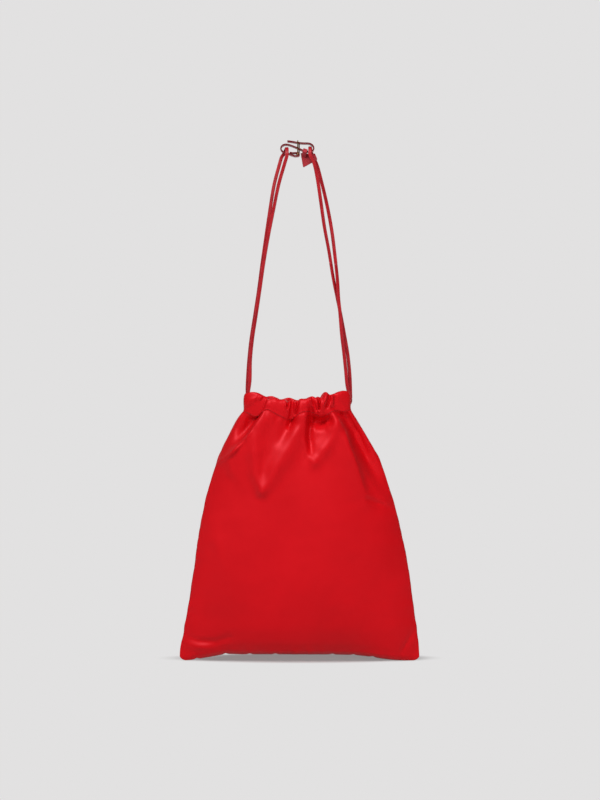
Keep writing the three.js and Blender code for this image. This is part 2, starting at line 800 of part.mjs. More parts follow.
const bag = new THREE.Group();
bag.add(
  panel("front_panel", -1, frontFolds, frontPleats),
  panel("back_panel", 1, backFolds, backPleats),
  cordTube("drawcord_left", leftCord()),
  cordTube("drawcord_right", rightCord()),
  beltMesh(),
  buckleFrame(),
  buckleTongue(),
  tagMesh(),
);
bag.position.set(-heel.x, 0, -hangHeight);

export default bag;
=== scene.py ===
"""A drawstring shoulder bag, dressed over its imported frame.

The pouch's two panels, their stitches and the laces are made here. The belt, its tag and its
buckle are the frame's own solids, with leather and plated metal on them.
"""

import math

import bpy
import numpy as np
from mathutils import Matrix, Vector


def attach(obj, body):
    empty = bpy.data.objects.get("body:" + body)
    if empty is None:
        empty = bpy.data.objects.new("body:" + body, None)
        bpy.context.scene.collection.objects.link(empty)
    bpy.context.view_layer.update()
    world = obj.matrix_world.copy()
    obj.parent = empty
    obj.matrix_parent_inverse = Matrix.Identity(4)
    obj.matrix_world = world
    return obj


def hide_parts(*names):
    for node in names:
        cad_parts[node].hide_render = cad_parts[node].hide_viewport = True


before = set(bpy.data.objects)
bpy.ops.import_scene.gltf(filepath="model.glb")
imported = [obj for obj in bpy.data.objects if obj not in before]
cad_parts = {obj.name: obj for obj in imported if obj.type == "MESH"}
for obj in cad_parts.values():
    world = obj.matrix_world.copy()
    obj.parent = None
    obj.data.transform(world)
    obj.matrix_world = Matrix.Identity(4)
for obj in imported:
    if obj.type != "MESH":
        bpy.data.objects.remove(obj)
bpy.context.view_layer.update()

# The bag is laid out in millimetres from the middle of its base. The frame's origin is where the
# belt hangs from its hook, which is this far above the base and to the left of the middle.
HANG_X = -2.8
HANG_Z = 626.75


def in_frame(points):
    """Millimetres from the middle of the base, as metres from the hook."""
    return (np.asarray(points, float) - [HANG_X, 0, HANG_Z]) / 1000


def smooth(t):
    """A soft step from 0 to 1 as t goes from 0 to 1."""
    t = np.clip(t, 0, 1)
    return t * t * (3 - 2 * t)


def fades(distance, reach):
    """1 at no distance, falling to nearly nothing at twice the reach."""
    return np.exp(-((distance / reach) ** 2))


def squared_off(wave, power):
    """A sine or cosine made fuller, with its sign kept. A power of 1 leaves it as it is."""
    return np.sign(wave) * np.abs(wave) ** power


def unit(vectors):
    return vectors / np.linalg.norm(vectors, axis=1)[:, None]


def run_along(line):
    """How far along a line each of its points lies."""
    return np.concatenate([[0], np.cumsum(np.linalg.norm(np.diff(line, axis=0), axis=1))])


def points_at(places, line):
    """The points of a line that lie the given distances along it."""
    run = run_along(line)
    return np.stack([np.interp(places, run, line[:, i]) for i in range(3)], axis=1)


# ---------------------------------------------------------------- materials

BACKDROP_TONE = "#E2E1E1"
# Pale rose for the leather's sharp edges: rubbed wear, and a painted highlight.
EDGE_WEAR_AND_HIGHLIGHT = "#C84A55"
# A wave texture repeats every 2 pi / 20 of its scale, so the ribs of the weave are 2.2 mm apart.
WEAVE_SCALE = 1 / 0.00035 / 20


def srgb(code):
    """A hex colour as the linear colour a shader takes."""
    parts = [int(code[i : i + 2], 16) / 255 for i in (1, 3, 5)]
    return [p / 12.92 if p <= 0.04045 else ((p + 0.055) / 1.055) ** 2.4 for p in parts] + [1]


def new_material(name):
    material = bpy.data.materials.new(name)
    material.use_nodes = True
    material.node_tree.nodes.clear()
    return material


def add(material, kind, values=None, links=None, **settings):
    """Adds a node with its settings, the values of its sockets and what is linked to them."""
    node = material.node_tree.nodes.new("ShaderNode" + kind)
    for key, value in settings.items():
        setattr(node, key, value)
    for socket, value in (values or {}).items():
        node.inputs[socket].default_value = value
    for socket, source in (links or {}).items():
        material.node_tree.links.new(source, node.inputs[socket])
    return node


def ramp(material, source, stops):
    """A colour ramp between two stops, each a place and a hex colour."""
    node = add(material, "ValToRGB", links={"Fac": source})
    for element, (place, code) in zip(node.color_ramp.elements, stops):
        element.position = place
        element.color = srgb(code)
    return node.outputs["Color"]


def woven_nylon():
    """Dense plain-woven nylon: a satin sheen along folds, and a weave that only shows close up."""
    m = new_material("woven_nylon_red")
    coordinates = add(m, "TexCoord")
    place = coordinates.outputs["Object"]
    # The UVs are in metres of cloth.
    warp, weft = (
        add(m, "TexWave",
            {"Scale": WEAVE_SCALE, "Distortion": 0.6, "Detail": 1.0, "Detail Scale": 2.0},
            {"Vector": coordinates.outputs["UV"]}, wave_type="BANDS", bands_direction=direction)
        for direction in "XY"
    )
    threads = add(m, "Math", links={0: warp.outputs["Fac"], 1: weft.outputs["Fac"]},
                  operation="ADD")
    # Slow variation of the dye and the finish, 40 to 80 mm across.
    cloudy = add(m, "TexNoise", {"Scale": 14.0, "Detail": 3.0, "Roughness": 0.5},
                 {"Vector": place})
    base = ramp(m, cloudy.outputs["Fac"], [(0.35, "#C4060F"), (0.65, "#CC0812")])
    rough = add(m, "MapRange", {"From Min": 0.3, "From Max": 0.7, "To Min": 0.46, "To Max": 0.54},
                {"Value": cloudy.outputs["Fac"]})
    # Small creases where the cloth has been handled, about 16 mm apart and very shallow.
    crumple = add(m, "TexNoise",
                  {"Scale": 60.0, "Detail": 4.0, "Roughness": 0.5, "Distortion": 0.4},
                  {"Vector": place})
    crease = add(m, "Bump", {"Strength": 0.25, "Distance": 0.0008},
                 {"Height": crumple.outputs["Fac"]})
    grid = add(m, "Bump", {"Strength": 0.12, "Distance": 0.00008},
               {"Height": threads.outputs["Value"], "Normal": crease.outputs["Normal"]})
    fine = add(m, "TexNoise", {"Scale": 900.0, "Detail": 2.0, "Roughness": 0.6},
               {"Vector": place})
    grain = add(m, "Bump", {"Strength": 0.1, "Distance": 0.00008},
                {"Height": fine.outputs["Fac"], "Normal": grid.outputs["Normal"]})
    # Light that glances off dyed filaments keeps their colour, so the sheen is red and not white.
    shader = add(m, "BsdfPrincipled",
                 {"IOR": 1.53, "Specular IOR Level": 0.85, "Specular Tint": (1, 0.17, 0.21, 1)},
                 {"Base Color": base, "Roughness": rough.outputs["Result"],
                  "Normal": grain.outputs["Normal"]})
    add(m, "OutputMaterial", links={"Surface": shader.outputs["BSDF"]})
    return m


def dyed_leather(name, dark, light, rough, grain_mm, edge_paint=None):
    """Drum-dyed calf leather with a fine pebbled grain. Its sharp edges are a little paler, partly
    from rubbed wear and partly from a painted highlight where they catch the light, and its cut
    edges may be painted."""
    m = new_material(name)
    coordinates = add(m, "TexCoord")
    place = coordinates.outputs["Object"]
    pebble = add(m, "TexVoronoi", {"Scale": 1000 / grain_mm, "Randomness": 0.9},
                 {"Vector": place}, feature="F1")
    cloud = add(m, "TexNoise", {"Scale": 90.0, "Detail": 4.0, "Roughness": 0.55},
                {"Vector": place})
    colour = ramp(m, cloud.outputs["Fac"], [(0.35, dark), (0.7, light)])
    # Sharp convex edges, where Pointiness is high, turn paler: partly rubbed wear, partly a painted
    # highlight.
    edge_wear_and_highlight = add(m, "MapRange",
               {"From Min": 0.51, "From Max": 0.58, "To Min": 0.0, "To Max": 0.35},
               {"Value": add(m, "NewGeometry").outputs["Pointiness"]})
    tint = add(m, "Mix", {"B": srgb(EDGE_WEAR_AND_HIGHLIGHT)},
               {"Factor": edge_wear_and_highlight.outputs["Result"], "A": colour}, data_type="RGBA")
    if edge_paint:
        # The belt's cut edges are the faces square to its width.
        face = add(m, "SeparateXYZ", links={0: coordinates.outputs["Normal"]})
        square = add(m, "Math", links={0: face.outputs["Y"]}, operation="ABSOLUTE")
        painted = add(m, "MapRange", {"From Min": 0.55, "From Max": 0.8},
                      {"Value": square.outputs["Value"]})
        tint = add(m, "Mix", {"B": srgb(edge_paint)},
                   {"Factor": painted.outputs["Result"], "A": tint.outputs["Result"]},
                   data_type="RGBA")
    bump = add(m, "Bump", {"Strength": 0.12, "Distance": 0.0001},
               {"Height": pebble.outputs["Distance"]})
    soft = add(m, "Bump", {"Strength": 0.08, "Distance": 0.0002},
               {"Height": cloud.outputs["Fac"], "Normal": bump.outputs["Normal"]})
    roughness = add(m, "MapRange", {"To Min": rough - 0.06, "To Max": rough + 0.08},
                    {"Value": cloud.outputs["Fac"]})
    shader = add(m, "BsdfPrincipled",
                 {"IOR": 1.5, "Specular IOR Level": 0.3, "Coat Weight": 0.05,
                  "Coat Roughness": 0.3},
                 {"Base Color": tint.outputs["Result"], "Roughness": roughness.outputs["Result"],
                  "Normal": soft.outputs["Normal"]})
    add(m, "OutputMaterial", links={"Surface": shader.outputs["BSDF"]})
    return m


def plated_pale_gold():
    """Zinc casting, polished and plated in pale gold: bright, with faint wiping marks."""
    m = new_material("plated_pale_gold")
    wipe = add(m, "TexNoise", {"Scale": 600.0, "Detail": 3.0, "Roughness": 0.6},
               {"Vector": add(m, "TexCoord").outputs["Object"]})
    rough = add(m, "MapRange", {"To Min": 0.18, "To Max": 0.32}, {"Value": wipe.outputs["Fac"]})
    colour = ramp(m, wipe.outputs["Fac"], [(0.3, "#B28A54"), (0.7, "#C9A26C")])
    bump = add(m, "Bump", {"Strength": 0.05, "Distance": 0.00005}, {"Height": wipe.outputs["Fac"]})
    shader = add(m, "BsdfPrincipled", {"Metallic": 1.0},
                 {"Base Color": colour, "Roughness": rough.outputs["Result"],
                  "Normal": bump.outputs["Normal"]})
    add(m, "OutputMaterial", links={"Surface": shader.outputs["BSDF"]})
    return m


def twisted_thread():
    """Bonded polyester thread, matt, with the twist of its plies."""
    m = new_material("twisted_thread_red")
    ply = add(m, "TexWave", {"Scale": 300.0, "Distortion": 1.0},
              {"Vector": add(m, "TexCoord").outputs["Object"]}, bands_direction="DIAGONAL")
    # The thread is darker where its plies dip and paler on their crowns: painted shade in the
    # grooves of the twist.
    colour = ramp(m, ply.outputs["Fac"], [(0.2, "#8C0A12"), (0.8, "#B0121C")])
    bump = add(m, "Bump", {"Strength": 0.3, "Distance": 0.0001}, {"Height": ply.outputs["Fac"]})
    shader = add(m, "BsdfPrincipled", {"Roughness": 0.6},
                 {"Base Color": colour, "Normal": bump.outputs["Normal"]})
    add(m, "OutputMaterial", links={"Surface": shader.outputs["BSDF"]})
    return m


NYLON = woven_nylon()
LACE = dyed_leather("lace_leather_crimson", "#980F19", "#AC151F", 0.42, 0.9)
STRAP = dyed_leather("belt_leather_crimson", "#94101A", "#A41621", 0.44, 1.1, edge_paint="#660A12")
# The tag is the same crimson leather in a darker tone: painted shade, for its face that hangs in
# shadow.
SHADED_TAG_LEATHER = dyed_leather("tag_leather_crimson_shaded", "#860E17", "#92141D", 0.55, 1.1)
GOLD = plated_pale_gold()
THREAD = twisted_thread()

# ---------------------------------------------------------------- camera

CAMERA_FAR = 2600
CAMERA_HEIGHT = 324
SEEN_HEIGHT = 996  # of the plane through the middle of the bag
SENSOR_WIDTH = 36

camera = bpy.data.objects.new("camera", bpy.data.cameras.new("camera"))
bpy.context.scene.collection.objects.link(camera)
camera.location = in_frame([0, -CAMERA_FAR, CAMERA_HEIGHT])
camera.rotation_euler = (math.radians(90), 0, 0)
camera.data.sensor_width = SENSOR_WIDTH
camera.data.lens = SENSOR_WIDTH * CAMERA_FAR / SEEN_HEIGHT
camera.data.clip_start = 0.1
camera.data.clip_end = 50
bpy.context.scene.camera = camera

# ---------------------------------------------------------------- meshes


def make_piece(name, points, faces, material, uvs=None):
    """A smooth mesh in the frame from points in millimetres."""
    mesh = bpy.data.meshes.new(name)
    mesh.from_pydata(in_frame(points).tolist(), [], faces)
    if uvs is not None:
        layer = mesh.uv_layers.new(name="cloth")
        corners = np.array([loop.vertex_index for loop in mesh.loops])
        layer.data.foreach_set("uv", np.asarray(uvs, np.float32)[corners].ravel())
    mesh.polygons.foreach_set("use_smooth", [True] * len(mesh.polygons))
    mesh.materials.append(material)
    piece = bpy.data.objects.new(name, mesh)
    bpy.context.scene.collection.objects.link(piece)
    return piece


def select_only(piece):
    bpy.ops.object.select_all(action="DESELECT")
    piece.select_set(True)
    bpy.context.view_layer.objects.active = piece


def thicken(piece, thick_mm):
    """Gives a sheet its thickness, all of it behind its outer face."""
    wall = piece.modifiers.new("cloth", "SOLIDIFY")
    wall.thickness = thick_mm / 1000
    wall.offset = -1
    select_only(piece)
    bpy.ops.object.modifier_apply(modifier=wall.name)
    piece.select_set(False)


def outward(piece):
    """Turns a closed piece's faces outwards."""
    select_only(piece)
    bpy.ops.object.mode_set(mode="EDIT")
    bpy.ops.mesh.select_all(action="SELECT")
    bpy.ops.mesh.normals_make_consistent(inside=False)
    bpy.ops.object.mode_set(mode="OBJECT")
    piece.select_set(False)


def curve_through(places, values):
    """A smooth function through values at rising places."""
    places, values = np.asarray(places, float), np.asarray(values, float)
    slope = np.gradient(values, places, axis=0)

    def at(x):
        x = np.clip(np.asarray(x, float), places[0], places[-1])
        i = np.clip(np.searchsorted(places, x) - 1, 0, len(places) - 2)
        span = places[i + 1] - places[i]
        t = (x - places[i]) / span
        return (
            values[i] * (1 + 2 * t) * (1 - t) ** 2
            + slope[i] * span * t * (1 - t) ** 2
            + values[i + 1] * (3 - 2 * t) * t**2
            - slope[i + 1] * span * (1 - t) * t**2
        )

    return at


# ---------------------------------------------------------------- laces

# The channel round the mouth: an oval tunnel, highest at its two sides, with a slit on each side
# between its front and its back. The laces run in it one above the other, each on its edge.
MOUTH_SHIFT = -3.5  # of the mouth's middle from the middle of the base
MOUTH_HALF_WIDTH = 66
MOUTH_HALF_DEPTH = 21.5
SLIT_HALF = 5.5
TUNNEL_REACH = 4.4
CHANNEL_HALF_WIDTH = MOUTH_HALF_WIDTH - TUNNEL_REACH
CHANNEL_HALF_DEPTH = MOUTH_HALF_DEPTH - TUNNEL_REACH - SLIT_HALF
LANE_LOW = 314.5
LANE_RISE = 7
CORD_LANE = 3  # each lane's height above or below the tunnel's middle
UPPER_LANE = LANE_LOW + LANE_RISE + CORD_LANE
LOWER_LANE = LANE_LOW + LANE_RISE - CORD_LANE
EXIT_LEFT = MOUTH_SHIFT - CHANNEL_HALF_WIDTH
EXIT_RIGHT = MOUTH_SHIFT + CHANNEL_HALF_WIDTH
CHANNEL_POINTS = 10
BUTT = 0.4  # half the gap between a lace's two ends

HEEL_HEIGHT = 629.4  # of the buckle's heel bar above the base
LEFT_LOOP_TOP = HEEL_HEIGHT + 8.3
RIGHT_LOOP_TOP = HEEL_HEIGHT + 9.3
LOOP_RADIUS = 10
LOOP_POINTS = 9

LACE_WIDTH = 4.4
LACE_THICK = 2.3
LACE_STEP = 1.1
LACE_SIDES = 20
LACE_FULLNESS = 0.7  # 1 is an ellipse
GROOVE_SHARE = 0.3  # of the thickness, for the shallow groove along the middle
GROOVE_REACH = 0.55
FLAT_ABOVE, FLAT_OVER = 337, 12  # it lies flat from here up, and turns from its edge below
TWIST_FROM, TWIST_TO, TWIST_EASE = 345, 622, 60  # where it twists, coming and going softly
SPLINE_STEPS = 24

LEFT_EXIT = [[EXIT_LEFT, 4, UPPER_LANE + 1], [EXIT_LEFT, 3.1, UPPER_LANE + 3.6]]
LEFT_FRONT = [
    [-64.2, -2.7, 335], [-62.4, -2.9, 348], [-61.8, -3, 374], [-59.2, -3, 400], [-54.6, -3, 430],
    [-49.9, -3, 462], [-45.3, -3.4, 494], [-39.8, -4.2, 526], [-33, -5.4, 560], [-26.4, -7, 592],
    [-19.2, -8.8, 617],
]
LEFT_BACK = [
    [-65.7, 2.7, 336], [-65.2, 2.9, 350], [-63.6, 3, 374], [-60.8, 3, 400], [-56.2, 3, 430],
    [-51.4, 3, 462], [-47.2, 3.4, 494], [-42.6, 4.2, 526], [-37.6, 5.4, 560], [-32.4, 7, 592],
    [-26, 8.8, 617],
]
RIGHT_EXIT = [
    [EXIT_RIGHT + 1.2, 3.6, LOWER_LANE], [EXIT_RIGHT + 3.4, 3, LOWER_LANE + 1.2],
    [EXIT_RIGHT + 4.7, 2.9, LANE_LOW + LANE_RISE + 1.7],
]
RIGHT_FRONT = [
    [60.6, -2.9, 333], [58.6, -2.9, 343], [56.9, -2.8, 361], [54.7, -2.8, 382], [52, -2.7, 405],
    [49.8, -2.7, 432], [47.9, -2.6, 450], [46.5, -1.6, 474], [43, 1.6, 508], [39.5, 5, 536],
    [34, 7.2, 566], [27, 8.6, 596], [20.6, 9.2, 619],
]
RIGHT_BACK = [
    [62.8, 2.9, 334], [62.5, 2.9, 346], [61.5, 2.8, 362], [59, 2.8, 384], [54.8, 2.7, 408],
    [50.4, 2.7, 432], [46.2, 2.6, 452], [41.4, 1.8, 476], [36.2, -1.4, 508], [30.2, -4.6, 540],
    [25.6, -7, 572], [21.4, -8.6, 600], [17.4, -9.2, 618],
]


def channel_run(side, lane, start, end):
    """The stretch of a lace inside one channel, from one share of its half width to another."""
    steps = np.arange(CHANNEL_POINTS) / (CHANNEL_POINTS - 1)
    angle = math.asin(start) + (math.asin(end) - math.asin(start)) * steps
    share = np.sin(angle)
    return np.stack(
        [
            MOUTH_SHIFT + share * CHANNEL_HALF_WIDTH,
            side * (SLIT_HALF + CHANNEL_HALF_DEPTH * np.cos(angle)),
            LANE_LOW + LANE_RISE * share**2 + lane,
        ],
        axis=1,
    ).tolist()


def on_side(side, points):
    """Points given for the back, on the front (-1) or on the back (1)."""
    return [[x, side * y, z] for x, y, z in points]


def over_belt(start, end, top):
    """The turn over the belt, a half circle from its front edge to its back edge."""
    share = np.arange(LOOP_POINTS) / (LOOP_POINTS - 1)
    deep = -LOOP_RADIUS * np.cos(share * math.pi)
    height = top - LOOP_RADIUS * (1 - np.sin(share * math.pi))
    return np.stack([start + (end - start) * share**4, deep, height], axis=1).tolist()


LEFT_ROUTE = [
    [EXIT_RIGHT, -BUTT, UPPER_LANE],
    *channel_run(-1, CORD_LANE, 1, -1),
    *on_side(-1, LEFT_EXIT),
    *LEFT_FRONT,
    *over_belt(-16.2, -22.8, LEFT_LOOP_TOP),
    *reversed(LEFT_BACK),
    *reversed(on_side(1, LEFT_EXIT)),
    *channel_run(1, CORD_LANE, -1, 1),
    [EXIT_RIGHT, BUTT, UPPER_LANE],
]
RIGHT_ROUTE = [
    [EXIT_LEFT, -BUTT, LOWER_LANE],
    *channel_run(-1, -CORD_LANE, -1, 1),
    *on_side(-1, RIGHT_EXIT),
    *RIGHT_FRONT,
    *reversed(over_belt(12.4, 15.8, RIGHT_LOOP_TOP)),
    *reversed(RIGHT_BACK),
    *reversed(on_side(1, RIGHT_EXIT)),
    *channel_run(1, -CORD_LANE, 1, -1),
    [EXIT_LEFT, BUTT, LOWER_LANE],
]


def follow(route, step):
    """Points a step apart on a smooth curve through the route's points."""
    route = np.asarray(route, float)
    ends = np.concatenate([[2 * route[0] - route[1]], route, [2 * route[-1] - route[-2]]])
    fine = []
    for i in range(len(route) - 1):
        p0, p1, p2, p3 = ends[i : i + 4]
        gaps = (np.sqrt(np.linalg.norm(b - a)) for a, b in ((p0, p1), (p1, p2), (p2, p3)))
        k0, k1, k2, k3 = np.cumsum([0, *gaps])
        t = (k1 + (k2 - k1) * np.arange(SPLINE_STEPS) / SPLINE_STEPS)[:, None]
        a1 = (k1 - t) / (k1 - k0) * p0 + (t - k0) / (k1 - k0) * p1
        a2 = (k2 - t) / (k2 - k1) * p1 + (t - k1) / (k2 - k1) * p2
        a3 = (k3 - t) / (k3 - k2) * p2 + (t - k2) / (k3 - k2) * p3
        b1 = (k2 - t) / (k2 - k0) * a1 + (t - k0) / (k2 - k0) * a2
        b2 = (k3 - t) / (k3 - k1) * a2 + (t - k1) / (k3 - k1) * a3
        fine.append((k2 - t) / (k2 - k1) * b1 + (t - k1) / (k2 - k1) * b2)
    fine = np.concatenate([*fine, route[-1:]])
    length = run_along(fine)[-1]
    return points_at(np.linspace(0, length, int(length / step) + 1), fine)


def lace(name, route, twist, replaced):
    """A flat lace along its route. Its width stands upright in the channels and lies flat outside,
    where it also twists a little. The twist is its angle, its pace and what shifts its front from
    its back."""
    line = follow(route, LACE_STEP)
    height = line[:, 2]
    along = unit(np.gradient(line, axis=0))
    upright = smooth((FLAT_ABOVE - height) / FLAT_OVER)[:, None]
    wide = upright * [0, 0, 1] + (1 - upright) * [1, 0, 0]
    wide = unit(wide - (wide * along).sum(1)[:, None] * along)
    flat = np.cross(along, wide)
    most, pace, shift = twist
    free = smooth((height - TWIST_FROM) / TWIST_EASE) * smooth((TWIST_TO - height) / TWIST_EASE)
    turn = (free * (most * np.sin(height / pace + shift * np.sign(line[:, 1]))))[:, None]
    wide, flat = (
        wide * np.cos(turn) + flat * np.sin(turn),
        flat * np.cos(turn) - wide * np.sin(turn),
    )
    angles = np.arange(LACE_SIDES) / LACE_SIDES * 2 * math.pi
    out = squared_off(np.cos(angles), LACE_FULLNESS) * LACE_WIDTH / 2
    up = squared_off(np.sin(angles), LACE_FULLNESS) * LACE_THICK / 2
    up *= 1 - GROOVE_SHARE * fades(out, GROOVE_REACH)
    rings = line[:, None] + out[None, :, None] * wide[:, None] + up[None, :, None] * flat[:, None]
    n, m = rings.shape[:2]
    i, k = np.meshgrid(np.arange(n - 1), np.arange(m), indexing="ij")
    after = (k + 1) % m
    quads = np.stack([i * m + k, i * m + after, (i + 1) * m + after, (i + 1) * m + k], axis=2)
    ends = [tuple(reversed(range(m))), tuple(range((n - 1) * m, n * m))]
    piece = make_piece(name, rings.reshape(-1, 3), quads.reshape(-1, 4).tolist() + ends, LACE)
    outward(piece)
    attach(piece, "bag")
    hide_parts(replaced)


lace("lace_left", LEFT_ROUTE, (0.5, 47, 1), "drawcord_left")
lace("lace_right", RIGHT_ROUTE, (0.6, 52, 2), "drawcord_right")

# ---------------------------------------------------------------- pouch

# The pouch's outlines: the side seams by height, and the bottom seam, the stitch lines and the
# channels' top edges by place across.
SEAM_HEIGHTS = [
    0, 12, 32, 52, 72, 92, 112, 132, 152, 172, 192, 212, 232, 252, 271, 281, 291, 301, 311, 330,
]
LEFT_SEAM = curve_through(
    SEAM_HEIGHTS,
    [-149.6, -149.4, -145.7, -141.9, -138.4, -135.5, -132.2, -129.6, -126.8, -123.3, -119.3,
     -114.5, -108.5, -102, -93.6, -88.6, -83.6, -78, -70.6, -69],
)
RIGHT_SEAM = curve_through(
    SEAM_HEIGHTS,
    [148.6, 148.2, 146.6, 143.4, 140.8, 138.2, 135.4, 132, 127.6, 123.2, 118.2, 112, 105.7, 98.4,
     87.6, 82, 76, 70, 63.8, 62.6],
)
BOTTOM_SEAM = curve_through(
    [-150, -141, -118, -106, -95, -70, 0, 50, 70, 88, 100, 112, 122, 150],
    [0, 0, 3.1, 5.2, 7.2, 7.4, 7.3, 7, 6.3, 4.4, 2.5, 0.9, 0, 0],
)
FRONT_STITCH = curve_through(
    [-70, -62, -55, -50, -46, -41, -32, -23, -12.3, -6, 0.6, 8, 14, 20, 26, 33, 38, 44, 54, 60,
     66],
    [310.5, 306.8, 303.6, 305, 309.5, 312.6, 308.3, 303.8, 299.6, 303, 308.5, 309.8, 309, 305.4,
     303, 305.5, 309, 311, 309.6, 311.5, 312],
)
BACK_STITCH = curve_through(
    [-70, -50, -28, -6, 12, 34, 50, 66],
    [310, 305, 310, 302, 308, 302, 309, 310],
)
FRONT_TOP = curve_through(
    [-70, -63, -58, -50, -45, -41, -36, -31, -27, -19, -15.6, -11, -5, 0, 8, 13, 17, 21, 24, 27,
     31, 34, 38, 45, 53, 59, 66],
    [332.5, 334, 333.4, 330, 327.6, 325, 326.6, 327, 325, 324.4, 321.6, 324.8, 322, 325.4, 325.8,
     328, 328.6, 327, 328.2, 326.6, 332, 334, 331, 331.6, 334.6, 335.6, 332],
)
BACK_TOP = curve_through(
    [-70, -60, -48, -38, -26, -14, -4, 8, 20, 32, 44, 56, 66],
    [333, 332, 328, 329, 325, 327, 324, 326, 324, 328, 327, 332, 333],
)
# Half the filled pouch's depth in its middle, by share of its height.
DEPTH = curve_through(
    [0, 0.012, 0.035, 0.09, 0.18, 0.3, 0.45, 0.62, 0.78, 0.9, 1.05],
    [0, 8.6, 15.1, 23.8, 30.2, 34.4, 36, 34.9, 31, 26, 22],
)

MM_PER_PIXEL = 1.245
MIDDLE_COLUMN = 300
BASE_ROW = 660


def px(*points):
    """Places given by column and row of the photograph, as millimetres across and up."""
    return np.array(
        [[(x - MIDDLE_COLUMN) * MM_PER_PIXEL, (BASE_ROW - y) * MM_PER_PIXEL] for x, y in points]
    )


def mm(*points):
    return np.array(points, float)


